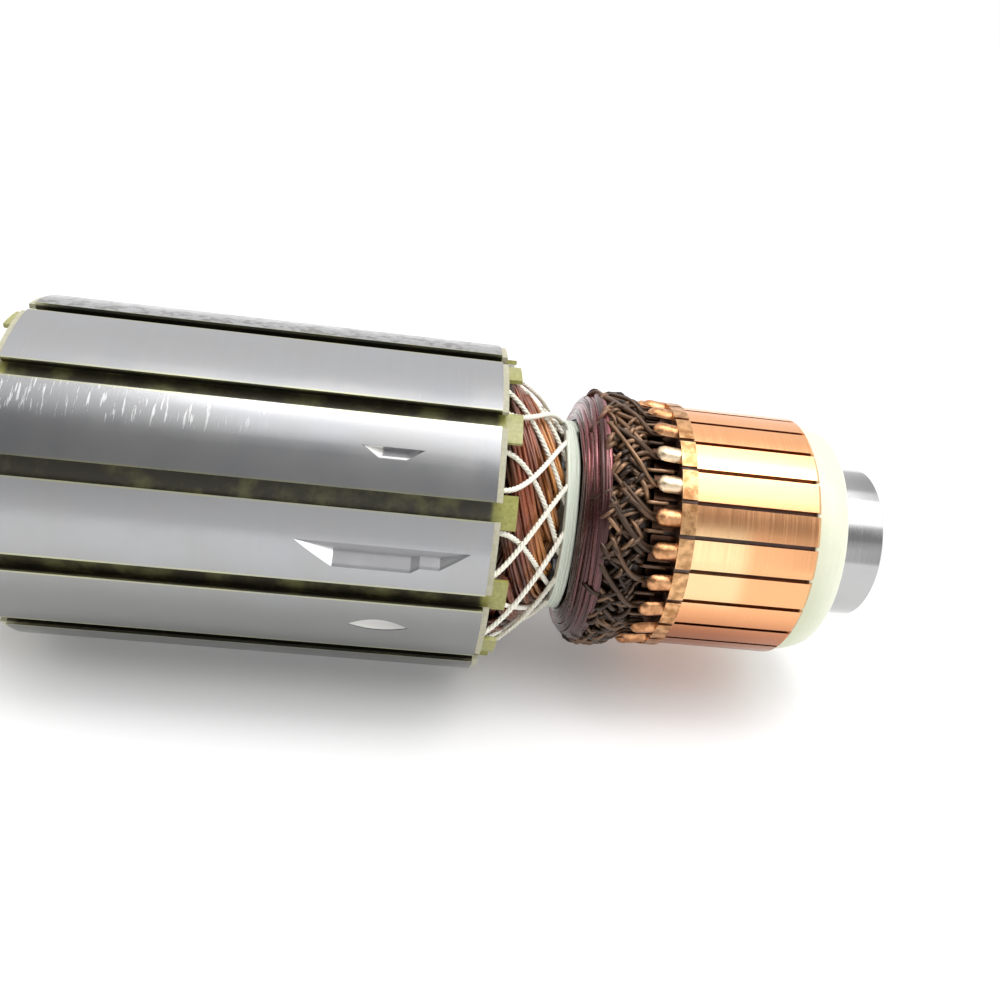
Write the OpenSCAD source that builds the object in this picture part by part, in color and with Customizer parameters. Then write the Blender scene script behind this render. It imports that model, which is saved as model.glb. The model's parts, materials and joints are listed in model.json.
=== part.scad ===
// Wound armature of a portable power tool's motor.
// It lies along +X with its commutator at the +X end, one slot facing straight down.
// The origin is the centre of the commutator-end bearing. All sizes are in millimetres.

/* [Core] */
// Outside diameter of the laminated core
core_d = 47; // [46:0.5:50]
// Length of the laminated core
core_len = 61; // [50:1:90]
// Width of the parallel stretch of each tooth
tooth_w = 4.6; // [4:0.1:5]
// Width of the slot opening between two tooth tips
slot_opening = 2.4; // [1.8:0.1:3]
// Thickness of a tooth tip at the slot opening
tip_t = 1; // [0.8:0.1:1.3]
// How far the tooth tip thickens from its edge to its root
tip_slope = 0.9; // [0.5:0.1:1.2]
// Distance from the outside of the core to the slot floor
slot_depth = 9.8; // [9.6:0.1:10.2]
// Thickness of the fibre disc on each end of the core
insulator_t = 0.8; // [0.5:0.1:1.2]
// How far the end disc stands back from the outside of the teeth
insulator_step = 0.3; // [0.2:0.1:0.8]

/* [Balance cuts] */
// Depth of the long balance cut at its first pass
deep_cut = 2.2; // [1:0.1:2.6]
// Depth of the same cut at its second pass
side_cut = 1.7; // [0.8:0.05:2.2]
// Length of the first pass
deep_len = 19.2; // [16:0.2:24]
// Length of the second pass
side_len = 11; // [9:0.2:13]
// Distance of the long balance cut from the commutator end of the core
deep_cut_at = 2.4; // [2:0.1:12]
// Height of the long balance cut across its tooth
cut_w = 3.4; // [2:0.1:4]
// Depth of the two small balance cuts
small_cut = 1; // [0.5:0.1:1.6]
// Length of the longer small cut
small_len = 7.8; // [6:0.2:10]
// Distance of that cut from the commutator end of the core
small_cut_at = 9.2; // [4:0.1:30]
// Radius of the V cutter of the other small cut
cutter_r = 8; // [6:0.5:12]

/* [Shaft] */
// Diameter of the drive-end bearing journal
journal_d = 10; // [9:0.1:10.2]
// Length of the drive-end bearing journal
journal_len = 14; // [8:1:20]
// Height of the shoulder between the journal and the shaft through the core
shoulder_h = 0.3; // [0.1:0.1:0.4]
// Wall of the insulating sleeve between shaft and core
sleeve_wall = 1.3; // [1:0.1:1.4]
// Diameter of the plain drive end
drive_d = 8; // [6:0.5:9]
// Length of the plain drive end
drive_len = 16; // [8:1:30]
// How far the shaft stands out of the commutator-end bearing
stub_len = 1; // [0.5:0.5:4]
// Chamfer on both ends of the shaft
shaft_chamfer = 0.6; // [0.3:0.1:1]

/* [Slot insulation] */
// Thickness of the slot liner
liner_t = 0.25; // [0.15:0.05:0.3]
// How far the liner stands out of the end discs
liner_cuff = 0.2; // [0.1:0.1:0.4]
// Thickness of the strip that closes each slot
wedge_t = 0.6; // [0.4:0.1:0.6]
// Width of the closing strip
wedge_w = 4.4; // [3.6:0.1:4.4]
// How far the closing strip stands out of the core
wedge_tab = 2.9; // [1:0.1:3]

/* [Winding] */
// How far the end winding and its lacing stand back from the outside of the core
crown_drop = 1.5; // [1.3:0.1:1.7]
// Radius of the end winding and its lacing at its neck
neck_r = 13; // [12.8:0.1:13.4]
// Distance from the core to the neck
neck_x = 11.3; // [11:0.1:12]
// Width of a coil's bundle of wire in the end winding
bundle_w = 2.6; // [2.2:0.1:2.6]
// Thickness of a coil's bundle of wire in the end winding
bundle_t = 1.9; // [1.5:0.1:1.9]
// Height of the bundle in the upper half of a slot
upper_h = 2.5; // [2:0.1:2.6]
// Gap between the upper bundle and the liner on each side of it
upper_play = 0.56; // [0.4:0.02:0.9]
// Height of the bundle in the lower half of a slot
lower_h = 3; // [2.4:0.1:3.1]
// Gap between the lower bundle and the liner on each side of it
lower_play = 0.18; // [0.16:0.02:0.5]

/* [Lacing] */
// Thickness of the lacing cord
cord_d = 0.62; // [0.4:0.02:0.64]
// Angle from the middle of a tooth to the start of a lacing strand
lace_start = 7.6; // [6.5:0.1:8]
// Angle that a lacing strand turns through on its way to the neck
lace_sweep = 45; // [30:1:50]
// Width of the band of cord round the neck
band_w = 1.9; // [1.2:0.1:2.2]
// Thickness of the band of cord round the neck
band_t = 1.5; // [1:0.1:1.6]

/* [Leads] */
// Distance from the core to the commutator hooks
winding_len = 21.6; // [21:0.2:26]
// Thickness of the pair of lead wires of one bar
lead_d = 2; // [1.4:0.1:2.1]
// Thickness of the same pair where it lies in its hook
lead_end_d = 1.1; // [0.8:0.1:1.2]
// Angle that the leads turn through on their way to the hooks
lead_sweep = 23; // [10:1:24]
// Thickness of the turn of wire that the leads come out of
turn_d = 1.7; // [1.2:0.1:2]
// Outside radius of the lead wires at their widest
lead_r = 19; // [18.8:0.1:19.4]

/* [Commutator] */
// Diameter of the brush track
track_d = 35.2; // [34.6:0.1:36]
// Length of the brush track
track_len = 17.3; // [12:0.1:24]
// Length of the riser behind the brush track
riser_len = 2.1; // [1.5:0.1:3]
// Height of the riser above the brush track
riser_h = 0.4; // [0.2:0.1:0.8]
// Gap between two neighbouring bars, as an angle
bar_gap = 1.9; // [1.2:0.1:3]
// Depth of the undercut between two bars
undercut = 1; // [0.5:0.1:1.5]
// Radial depth of a bar above its foot
bar_depth = 4.2; // [3.8:0.1:4.6]
// Height of the dovetail foot that anchors a bar
foot_h = 1.6; // [1:0.1:2]
// Chamfer at the free end of a bar
bar_chamfer = 0.5; // [0.2:0.1:0.8]
// Angle from a slot to the middle of the nearest bar
bar_lead = 10.6; // [0:0.1:14.9]
// Length of a hook
hook_len = 3.3; // [2.6:0.1:4]
// Width of a hook
hook_w = 2.6; // [1.8:0.1:2.7]
// Thickness of a hook
hook_t = 0.9; // [0.6:0.1:1.1]
// Length of the moulded nose in front of the bars
nose_len = 4.7; // [3:0.1:7]
// Radius of the nose at its front rim
nose_r = 15.1; // [13:0.1:16]
// Wall of the steel bush inside the commutator
bush_wall = 2; // [1.5:0.1:3]

/* [Bearing] */
// Outside diameter of the ball bearing
bearing_d = 22; // [21.6:0.1:24]
// Width of the ball bearing
bearing_w = 7; // [6.6:0.1:8]
// Bore of the ball bearing
bearing_bore = 8; // [7.4:0.1:8.2]
// Diameter of a ball
ball_d = 3.97; // [3.6:0.01:4]
// Diameter of the circle through the ball centres
ball_circle_d = 15; // [14.9:0.1:15.1]
// Gap between a ball and each raceway
ball_play = 0.02; // [0.01:0.01:0.04]
// Gap between the bearing and the moulded nose
nose_gap = 0.5; // [0.3:0.1:1]
// Thickness of a bearing shield
shield_t = 0.3; // [0.2:0.05:0.4]

/* [Hidden] */
slot_count = 12;
bars_per_slot = 2;
ball_count = 7;
bar_count = slot_count * bars_per_slot;
slot_pitch = 360 / slot_count;
bar_pitch = 360 / bar_count;
round_fn = 96;

// Stations along the shaft, from the bearing back to the drive end
nose_front_x = -bearing_w / 2 - nose_gap;
bar_front_x = nose_front_x - nose_len;
riser_x = bar_front_x - track_len;
bar_back_x = riser_x - riser_len;
moulding_back_x = bar_back_x - 1.5;
hook_x = bar_back_x - hook_len;
front_x = hook_x - winding_len;
rear_x = front_x - core_len;
journal_gap = 15;
journal_x = rear_x - journal_gap;
sleeve_gap = 1.5;
sleeve_rear_x = journal_x + sleeve_gap;
drive_x = journal_x - journal_len;
shaft_rear_x = drive_x - drive_len;
shaft_front_x = bearing_w / 2 + stub_len;

// Core and slots, in a slot's own plane: x across the slot, y out from the shaft
core_r = core_d / 2;
half_pitch = slot_pitch / 2;
journal_r = journal_d / 2;
shaft_r = journal_r + shoulder_h;
sleeve_r = shaft_r + sleeve_wall;
floor_r = core_r - slot_depth;
lip_r = core_r - tip_t;
shoulder_r = lip_r - tip_slope;
floor_y = (floor_r - tooth_w / 2) / (1 - sin(half_pitch));
floor_round = floor_y - floor_r;
cut_aside = 1.5;
cut_entry = 4.8;
pass_overlap = cut_entry * (1 + side_cut / deep_cut);
wedge_r = shoulder_r;
wedge_gap = 0.1;
floor_gap = 0.35;
liner_top_r = wedge_r - wedge_t - wedge_gap;
upper_r = liner_top_r - wedge_gap - upper_h / 2;
lower_r = floor_r + liner_t + floor_gap + lower_h / 2;

// End winding: two layers of bundles on nested cones, the lacing on top
// A bundle has straight sides for bundle_side of its height
bundle_side = 0.42;
upper_w = 2 * (flank(upper_r - bundle_side * upper_h / 2, liner_t) - upper_play);
lower_w = 2 * (flank(lower_r - bundle_side * lower_h / 2, liner_t) - lower_play);
crown_r = core_r - crown_drop;
layer_gap = 0.5;
lace_h = 2 * cord_d + 0.1;
outer_depth = lace_h + bundle_t / 2;
inner_depth = outer_depth + bundle_t + layer_gap;
coil_half_span = (floor(slot_count / 2) - 1) * slot_pitch / 2;
cuff_x = insulator_t + liner_cuff;
leave_x = cuff_x + 0.9;
apex_x = neck_x - 2.1;
nose_turn = 4;
layer_turn = 7;
settle_from = cuff_x - 0.8;
settle_to = cuff_x + 1.6;
band_x = neck_x - 1;
band_inner_r = neck_r - 0.6;
neck_band_end_x = front_x + band_x + band_w;
turn_r = lead_r - 0.7;
collar_gap = 0.15;
hook_gap = 0.3;
wire_gap = 0.1;

// Commutator radii
track_r = track_d / 2;
riser_r = track_r + riser_h;
bar_inner_r = track_r - bar_depth;
foot_r = bar_inner_r - foot_h;
foot_inset = 3.2;
foot_slant = 1.3;
bush_r = shaft_r + bush_wall;
ledge_t = 1.4;
ledge_drop = 1.6;
ledge_grip = 0.4;
ledge_top_r = track_r - ledge_drop;
ledge_r = ledge_top_r - ledge_t;
lead_end_r = ledge_top_r + lead_end_d / 2 + 0.05;
hook_drop = 0.05;
hook_rise = 7;

// Bearing radii
bearing_r = bearing_d / 2;
bore_r = bearing_bore / 2;
ball_r = ball_d / 2;
ball_circle_r = ball_circle_d / 2;
groove_r = ball_r + ball_play;
land = 0.52;
inner_land_r = ball_circle_r - ball_r + land;
outer_land_r = ball_circle_r + ball_r - land;
shield_recess = 0.35;
shield_x = bearing_w / 2 - shield_recess;
shield_seat_r = outer_land_r + shield_recess;
shield_gap = 0.2;

// A two-figure name for one of a numbered row, such as bar_07
function numbered(stem, i) = str(stem, i < 10 ? "0" : "", i);

// ---- helpers ----

// A turned piece from points given as [radius, station along the shaft]
module turned(points) {
  rotate([0, 90, 0]) rotate_extrude($fn = round_fn) polygon(points);
}

// A flat outline drawn across the shaft, drawn out from one station to another
module drawn_along(from_x, to_x) {
  translate([from_x, 0, 0]) rotate([90, 0, 90]) linear_extrude(to_x - from_x) children();
}

// Copies the children to every slot, or to every tooth with half = 1
module at_slots(half = 0) {
  for (i = [0:slot_count - 1]) rotate([(i + half / 2) * slot_pitch, 0, 0]) children();
}

// The right half of a list of points, and its mirror image going back down
function both_sides(half) = concat(half,
  [for (i = [len(half) - 1:-1:0]) if (half[i][0] > 0.001) [-half[i][0], half[i][1]]]);

// The angle at the middle of a tooth, counted round from the topmost slot
function tooth_angle(i) = (i + 0.5) * slot_pitch;

// Half the slot's width at a height, drawn in from the walls by a gap
function flank(y, gap = 0) =
  y * tan(half_pitch) - (tooth_w / 2 + gap) / cos(half_pitch);

// Right half of the slot's body up to a height: a round floor, then a straight flank
function slot_half(top, gap = 0) = concat(
  [for (a = [-90:15:-15]) [(floor_round - gap) * cos(a), floor_y + (floor_round - gap) * sin(a)]],
  [[flank(top, gap), top]]);

function slot_outline() = both_sides(concat(
  slot_half(shoulder_r), [[slot_opening / 2, lip_r], [slot_opening / 2, core_r + 1]]));

// Smooth step from 0 to 1 as v goes from a to b
function ease(a, b, v) =
  let (t = min(1, max(0, (v - a) / (b - a)))) t * t * (3 - 2 * t);
function mix(a, b, t) = a + (b - a) * t;
function unit(v) = v / norm(v);

// A point at a station, a radius and an angle about the shaft, 0 being straight up
function polar(x, r, a) = [x, -r * sin(a), r * cos(a)];
function outward(a, lean) = [sin(lean), -cos(lean) * sin(a), cos(lean) * cos(a)];

// Rings of a sweep: a section of unit points, scaled and set across the path at each point
function ring_points(path, normals, sizes, section, closed) =
  let (n = len(path))
  [for (i = [0:n - 1])
    let (
      after = closed ? path[(i + 1) % n] : path[min(i + 1, n - 1)],
      before = closed ? path[(i + n - 1) % n] : path[max(i - 1, 0)],
      along = unit(after - before),
      across = unit(cross(along, normals[i])),
      up = cross(across, along))
    for (p = section) path[i] + across * p[0] * sizes[i][0] + up * p[1] * sizes[i][1]];

function ring_faces(n, m, closed) = concat(
  [for (i = [0:n - (closed ? 1 : 2)], j = [0:m - 1], half = [0, 1])
    let (
      a = i * m + j,
      b = i * m + (j + 1) % m,
      c = ((i + 1) % n) * m + (j + 1) % m,
      d = ((i + 1) % n) * m + j)
    half == 0 ? [a, b, c] : [a, c, d]],
  closed ? [] : [for (j = [1:m - 2]) [0, j + 1, j]],
  closed ? [] : [for (j = [1:m - 2]) [(n - 1) * m, (n - 1) * m + j, (n - 1) * m + j + 1]]);

module sweep(path, normals, sizes, section, closed = false) {
  polyhedron(
    points = ring_points(path, normals, sizes, section, closed),
    faces = ring_faces(len(path), len(section), closed));
}

bundle_section = [[1, -bundle_side], [1, bundle_side], [0.5, 1], [-0.5, 1],
                  [-1, bundle_side], [-1, -bundle_side], [-0.5, -1], [0.5, -1]];
cord_section = [for (a = [0:60:300]) [cos(a), sin(a)]];

// ---- shaft and core ----

module shaft() {
  seat_r = bore_r;
  drive_r = drive_d / 2;
  color([0.62, 0.63, 0.65]) turned([
    [0, shaft_rear_x], [drive_r - shaft_chamfer, shaft_rear_x],
    [drive_r, shaft_rear_x + shaft_chamfer], [drive_r, drive_x],
    [journal_r, drive_x], [journal_r, journal_x], [shaft_r, journal_x],
    [shaft_r, -bearing_w / 2], [seat_r, -bearing_w / 2],
    [seat_r, shaft_front_x - shaft_chamfer], [seat_r - shaft_chamfer, shaft_front_x],
    [0, shaft_front_x]]);
}

module shaft_sleeve() {
  color([0.86, 0.83, 0.66]) turned([
    [shaft_r, sleeve_rear_x], [sleeve_r, sleeve_rear_x],
    [sleeve_r, moulding_back_x], [shaft_r, moulding_back_x]]);
}

// One milled pass on its tooth: a wall along the top, a floor that rises to the lower edge,
// a slanting facet at each end. x is the end nearest the commutator.
module pass(x, angle, length, depth) {
  entry = cut_entry * depth / deep_cut;
  height = cut_w * depth / deep_cut;
  wall_y = 0.6;
  spare = 1.4;
  left = [x - length, wall_y, 0];
  right = [x, wall_y, 0];
  deep = [for (end_x = [x - length + entry, x - entry]) [end_x, wall_y, -depth]];
  low = [for (p = deep) [p[0], wall_y - height, 0]];
  // The corners on the tooth are carried on along their own planes, clear of its round face
  corners = concat(deep, [
    deep[0] + (left - deep[0]) * spare, deep[0] + (low[0] - deep[0]) * spare,
    deep[1] + (low[1] - deep[1]) * spare, deep[1] + (right - deep[1]) * spare]);
  rotate([angle, 0, 0]) translate([0, 0, core_r]) polyhedron(
    points = corners,
    faces = [[0, 1, 5, 2], [0, 3, 4, 1], [0, 2, 3], [1, 4, 5], [2, 5, 4, 3]]);
}

// One V cutter plunge, its lowest line at an angle about the shaft
module plunge(x, angle, depth) {
  reach = 4;
  steep = 0.78;
  shallow = 1.35;
  rotate([angle, 0, 0]) translate([x, 0, core_r - depth + cutter_r]) rotate([-90, 0, 0])
    rotate_extrude($fn = round_fn) polygon([
      [0, -steep * reach], [cutter_r - reach, -steep * reach], [cutter_r, 0],
      [cutter_r - reach, shallow * reach], [0, shallow * reach]]);
}

module core_stack() {
  color([0.66, 0.67, 0.69]) difference() {
    turned([[sleeve_r, rear_x], [core_r, rear_x], [core_r, front_x], [sleeve_r, front_x]]);
    at_slots() drawn_along(rear_x - 1, front_x + 1) polygon(slot_outline());
    pass(front_x - deep_cut_at - side_len + pass_overlap, tooth_angle(2), deep_len, deep_cut);
    pass(front_x - deep_cut_at, tooth_angle(2), side_len, side_cut);
    pass(front_x - small_cut_at, tooth_angle(1), small_len, small_cut);
    plunge(front_x - small_cut_at - small_len / 2, tooth_angle(3) - cut_aside, small_cut);
  }
}

module end_disc(from_x) {
  color([0.88, 0.87, 0.78]) difference() {
    turned([[sleeve_r, from_x], [core_r - insulator_step, from_x],
            [core_r - insulator_step, from_x + insulator_t], [sleeve_r, from_x + insulator_t]]);
    at_slots() drawn_along(from_x - 1, from_x + insulator_t + 1) polygon(slot_outline());
  }
}

// ---- slot insulation ----

module slot_liners() {
  color([0.62, 0.6, 0.3]) at_slots() drawn_along(rear_x - cuff_x, front_x + cuff_x) difference() {
    polygon(both_sides(slot_half(liner_top_r)));
    polygon(both_sides(concat(slot_half(liner_top_r, liner_t),
      [[flank(liner_top_r, liner_t), liner_top_r + 1]])));
  }
}

module slot_strips() {
  half_angle = asin(wedge_w / 2 / wedge_r);
  color([0.66, 0.64, 0.3]) at_slots()
    drawn_along(rear_x - wedge_tab, front_x + wedge_tab) intersection() {
      difference() {
        circle(wedge_r, $fn = round_fn);
        circle(wedge_r - wedge_t, $fn = round_fn);
      }
      polygon([[0, 0], core_r * [sin(half_angle), cos(half_angle)],
               core_r * [-sin(half_angle), cos(half_angle)]]);
    }
}

// ---- coils ----

// Outside radius and slope of the laced end winding, at a distance from the core
function crown(d) = let (t = d / neck_x) crown_r - (crown_r - neck_r) * (0.68 * t + 0.32 * t * t);
function crown_lean(d) =
  atan((crown_r - neck_r) / neck_x * (0.68 + 0.64 * min(1, max(0, d / neck_x))));
function crown_at(d, depth) = crown(d) - depth / cos(crown_lean(d));

// Point on a corner rounded from a to c, b being the sharp corner
function rounded(a, b, c, t) = a * (1 - t) * (1 - t) + b * 2 * t * (1 - t) + c * t * t;

// Half an end turn as [angle, distance from the core], from the slot to the tip of the loop
lean_rate = (apex_x - leave_x) / coil_half_span;
exit_turn = 6;
half_turn = concat(
  [[-coil_half_span, 0]],
  [for (t = [0.08, 0.45, 0.85]) rounded(
    [-coil_half_span, cuff_x + 0.3], [-coil_half_span, leave_x],
    [-coil_half_span + exit_turn, leave_x + exit_turn * lean_rate], t)],
  [for (t = [0.28, 0.62]) [-coil_half_span * (1 - t), leave_x + coil_half_span * t * lean_rate]],
  [for (t = [0, 0.27]) rounded(
    [-nose_turn, apex_x - nose_turn * lean_rate], [0, apex_x],
    [nose_turn, apex_x - nose_turn * lean_rate], t)]);
end_turn = concat(half_turn, [for (i = [len(half_turn) - 1:-1:0]) [-half_turn[i][0], half_turn[i][1]]]);

// Radius of the bundle's middle: from its slot it eases on to the outer or the inner cone
function bundle_radius(a, d) =
  let (
    layer = ease(-layer_turn, layer_turn, a),
    cone = crown_at(d, mix(outer_depth, inner_depth, layer)))
  mix(a < 0 ? upper_r : lower_r, cone, ease(settle_from, settle_to, d));

function bundle_size(a, d) =
  let (out = ease(cuff_x - 0.2, cuff_x + 1.4, d), low = a > 0)
  [mix(low ? lower_w : upper_w, bundle_w, out) / 2, mix(low ? lower_h : upper_h, bundle_t, out) / 2];

coil_turns = len(end_turn);
coil_path = concat(
  [for (p = end_turn) polar(front_x + p[1], bundle_radius(p[0], p[1]), p[0])],
  [for (i = [coil_turns - 1:-1:0]) let (p = end_turn[i])
    polar(rear_x - p[1], bundle_radius(p[0], p[1]), p[0])]);
coil_normals = concat(
  [for (p = end_turn) outward(p[0], crown_lean(p[1]) * ease(settle_from, settle_to, p[1]))],
  [for (i = [coil_turns - 1:-1:0]) let (p = end_turn[i])
    outward(p[0], -crown_lean(p[1]) * ease(settle_from, settle_to, p[1]))]);
coil_sizes = concat(
  [for (p = end_turn) bundle_size(p[0], p[1])],
  [for (i = [coil_turns - 1:-1:0]) bundle_size(end_turn[i][0], end_turn[i][1])]);

module coil(i) {
  color([0.45, 0.22, 0.15]) rotate([half_pitch + (i - 1) * slot_pitch, 0, 0])
    sweep(coil_path, coil_normals, coil_sizes, bundle_section, closed = true);
}

// ---- lacing ----

// One strand over a tooth: side is 1 or -1, over puts it on top of the strands it crosses
module lace_strand(side, over, face_x, way) {
  start = insulator_t + cord_d / 2 + 0.1;
  end = band_x - cord_d / 2 - 0.12;
  depth = cord_d / 2 + (over ? 0 : cord_d + 0.04);
  late = 3.3;
  steps = [0, 0.3, 0.52, 0.68, 0.8, 0.9, 1];
  angles = [for (t = steps) side * (lace_start - lace_sweep * pow(t, late))];
  far = [for (t = steps) mix(start, end, t)];
  path = [for (i = [0:len(steps) - 1])
    polar(face_x + way * far[i], crown_at(far[i], depth), angles[i])];
  normals = [for (i = [0:len(steps) - 1]) outward(angles[i], way * crown_lean(far[i]))];
  sweep(path, normals, [for (t = steps) [cord_d / 2, cord_d / 2]], cord_section);
}

module lacing(face_x, way) {
  color([0.93, 0.9, 0.76]) at_slots(half = 1) {
    lace_strand(1, true, face_x, way);
    lace_strand(-1, false, face_x, way);
  }
}

// A band of cord turns: flat inside, one rounded ridge to each turn outside
module band(from_x, way, turns) {
  width = band_w * turns / 3;
  ridge = width / turns / 2;
  ridge_r = band_inner_r + band_t - ridge;
  color([0.8, 0.86, 0.76]) turned(concat(
    [[band_inner_r, from_x]],
    [for (k = [0:turns - 1], a = [180:-30:0]) if (a > 0 || k == turns - 1)
      [ridge_r + ridge * sin(a), from_x + way * ridge * (2 * k + 1 + cos(a))]],
    [[band_inner_r, from_x + way * width]]));
}

// ---- leads ----

module lead_collar() {
  root_x = front_x + band_x + band_w * 0.7;
  wall_x = neck_band_end_x + collar_gap;
  bed_r = lead_r - lead_d - wire_gap;
  slope_len = 1.8;
  inner_turn_r = turn_r - 1.4 * turn_d;
  end_x = hook_x - hook_gap;
  tail_gap = 0.2;
  tail_r = ledge_r - tail_gap;
  tail_x = moulding_back_x - tail_gap;
  color([0.25, 0.17, 0.14]) rotate([0, 90, 0]) rotate_extrude($fn = round_fn) union() {
    polygon([
      [sleeve_r, root_x], [band_inner_r, root_x], [band_inner_r, wall_x],
      [turn_r - turn_d / 2, wall_x], [turn_r, wall_x + turn_d / 2],
      [bed_r, wall_x + turn_d], [bed_r, end_x - slope_len], [ledge_top_r + wire_gap, end_x],
      [tail_r, end_x], [tail_r, tail_x], [sleeve_r, tail_x]]);
    translate([turn_r - turn_d / 2, wall_x + turn_d / 2]) circle(d = turn_d, $fn = 24);
    translate([inner_turn_r, wall_x + turn_d / 2]) circle(d = turn_d, $fn = 24);
  }
}

module lead_wires() {
  start_x = neck_band_end_x + collar_gap + turn_d + lead_d / 2;
  run = hook_x - start_x;
  mid_r = lead_r - lead_d / 2;
  steps = [0, 0.2, 0.4, 0.6, 0.78, 0.92, 1];
  tail = [0.3, 0.75];
  narrow_from = 0.6;
  angles = [for (t = steps) -lead_sweep * pow(1 - t, 1.5)];
  path = concat(
    [for (i = [0:len(steps) - 1]) polar(start_x + run * steps[i],
      mix(mid_r, lead_end_r, ease(narrow_from, 1.05, steps[i])), angles[i])],
    [for (t = tail) polar(hook_x + hook_len * t, lead_end_r, 0)]);
  normals = concat([for (a = angles) outward(a, 0)], [for (t = tail) outward(0, 0)]);
  sizes = concat(
    [for (t = steps) let (r = mix(lead_d, lead_end_d, ease(narrow_from, 1, t)) / 2) [r, r]],
    [for (t = tail) [lead_end_d / 2, lead_end_d / 2]]);
  color([0.3, 0.18, 0.15]) for (i = [0:bar_count - 1])
    rotate([bar_lead + i * bar_pitch, 0, 0]) sweep(path, normals, sizes, cord_section);
}

// ---- commutator ----

// The sector of one bar: brush track, riser, wire ledge and dovetail foot
module bar_sector() {
  width = bar_pitch - bar_gap;
  rotate([-width / 2, 0, 0]) rotate([0, 90, 0]) rotate([0, 0, 180])
    rotate_extrude(angle = width, $fn = round_fn) polygon([
      [bar_inner_r, bar_front_x], [track_r - bar_chamfer, bar_front_x],
      [track_r, bar_front_x - bar_chamfer], [track_r, riser_x], [riser_r, riser_x],
      [riser_r, bar_back_x], [ledge_top_r, bar_back_x], [ledge_top_r, hook_x],
      [ledge_r, hook_x], [ledge_r, bar_back_x], [bar_inner_r, bar_back_x],
      [bar_inner_r, bar_back_x + foot_inset + foot_slant], [foot_r, bar_back_x + foot_inset],
      [foot_r, bar_front_x - foot_inset], [bar_inner_r, bar_front_x - foot_inset - foot_slant]]);
}

// The hook: a round-backed, round-ended finger folded back over the leads
module hook() {
  straight = hook_len - hook_w / 2;
  root = 0.8;
  translate([bar_back_x, 0, riser_r - hook_drop]) rotate([0, hook_rise, 0]) intersection() {
    translate([-hook_len, -hook_w, -hook_t]) cube([hook_len + root, 2 * hook_w, hook_t]);
    translate([0, 0, -hook_w / 2]) {
      translate([-straight, 0, 0]) rotate([0, 90, 0]) cylinder(h = straight + root, d = hook_w, $fn = 48);
      translate([-straight, 0, 0]) sphere(d = hook_w, $fn = 48);
    }
  }
}

module bar(i) {
  color([0.85, 0.52, 0.32]) rotate([bar_lead + (i - 1) * bar_pitch, 0, 0]) union() {
    bar_sector();
    hook();
  }
}

// Moulded body: fills between the bars, stands back at the brush track, ends in a round nose
module commutator_moulding() {
  collar_r = ledge_r + ledge_grip;
  riser_fill_r = riser_r - 0.3;
  rim_r = track_r - bar_chamfer;
  color([0.87, 0.88, 0.74]) difference() {
    turned(concat(
      [[bush_r, moulding_back_x], [collar_r, moulding_back_x], [collar_r, bar_back_x],
       [riser_fill_r, bar_back_x], [riser_fill_r, riser_x], [track_r - undercut, riser_x],
       [track_r - undercut, bar_front_x - bar_chamfer], [rim_r, bar_front_x - bar_chamfer]],
      [for (a = [0:15:90]) [nose_r + (rim_r - nose_r) * cos(a), bar_front_x + nose_len * sin(a)]],
      [[bush_r, nose_front_x]]));
    for (i = [0:bar_count - 1]) rotate([bar_lead + i * bar_pitch, 0, 0]) bar_sector();
  }
}

module commutator_bush() {
  color([0.6, 0.6, 0.58]) turned([
    [shaft_r, moulding_back_x], [bush_r, moulding_back_x],
    [bush_r, nose_front_x], [shaft_r, nose_front_x]]);
}

// ---- ball bearing ----

module bearing_ring(inner_r, outer_r) {
  chamfer = 0.3;
  half = bearing_w / 2;
  turned([
    [inner_r + chamfer, -half], [outer_r - chamfer, -half], [outer_r, -half + chamfer],
    [outer_r, half - chamfer], [outer_r - chamfer, half], [inner_r + chamfer, half],
    [inner_r, half - chamfer], [inner_r, -half + chamfer]]);
}

module raceway() {
  rotate([0, 90, 0]) rotate_extrude($fn = round_fn)
    translate([ball_circle_r, 0]) circle(groove_r, $fn = 48);
}

module bearing_inner_ring() {
  color([0.7, 0.71, 0.72]) difference() {
    bearing_ring(bore_r, inner_land_r);
    raceway();
  }
}

module bearing_outer_ring() {
  color([0.7, 0.71, 0.72]) difference() {
    bearing_ring(outer_land_r, bearing_r);
    raceway();
    for (way = [-1, 1]) turned([
      [outer_land_r - 1, way * (shield_x - shield_t)], [shield_seat_r, way * (shield_x - shield_t)],
      [shield_seat_r, way * (bearing_w / 2 + 1)], [outer_land_r - 1, way * (bearing_w / 2 + 1)]]);
  }
}

module shield(way) {
  color([0.55, 0.56, 0.58]) turned([
    [inner_land_r + shield_gap, way * (shield_x - shield_t)],
    [shield_seat_r, way * (shield_x - shield_t)],
    [shield_seat_r, way * shield_x], [inner_land_r + shield_gap, way * shield_x]]);
}

module at_balls() {
  for (i = [0:ball_count - 1]) rotate([i * 360 / ball_count, 0, 0])
    translate([0, 0, ball_circle_r]) children();
}

module bearing_cage() {
  wall = 0.75;
  pocket_gap = 0.08;
  back = ball_r + 0.3;
  mouth = ball_r * 0.5;
  color([0.75, 0.72, 0.6]) difference() {
    turned([
      [ball_circle_r - wall, -back], [ball_circle_r + wall, -back],
      [ball_circle_r + wall, mouth], [ball_circle_r - wall, mouth]]);
    at_balls() sphere(ball_r + pocket_gap, $fn = 48);
  }
}

module bearing_balls() {
  color([0.8, 0.8, 0.82]) at_balls() sphere(ball_r, $fn = 48);
}

// ---- what is drawn ----

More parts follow.
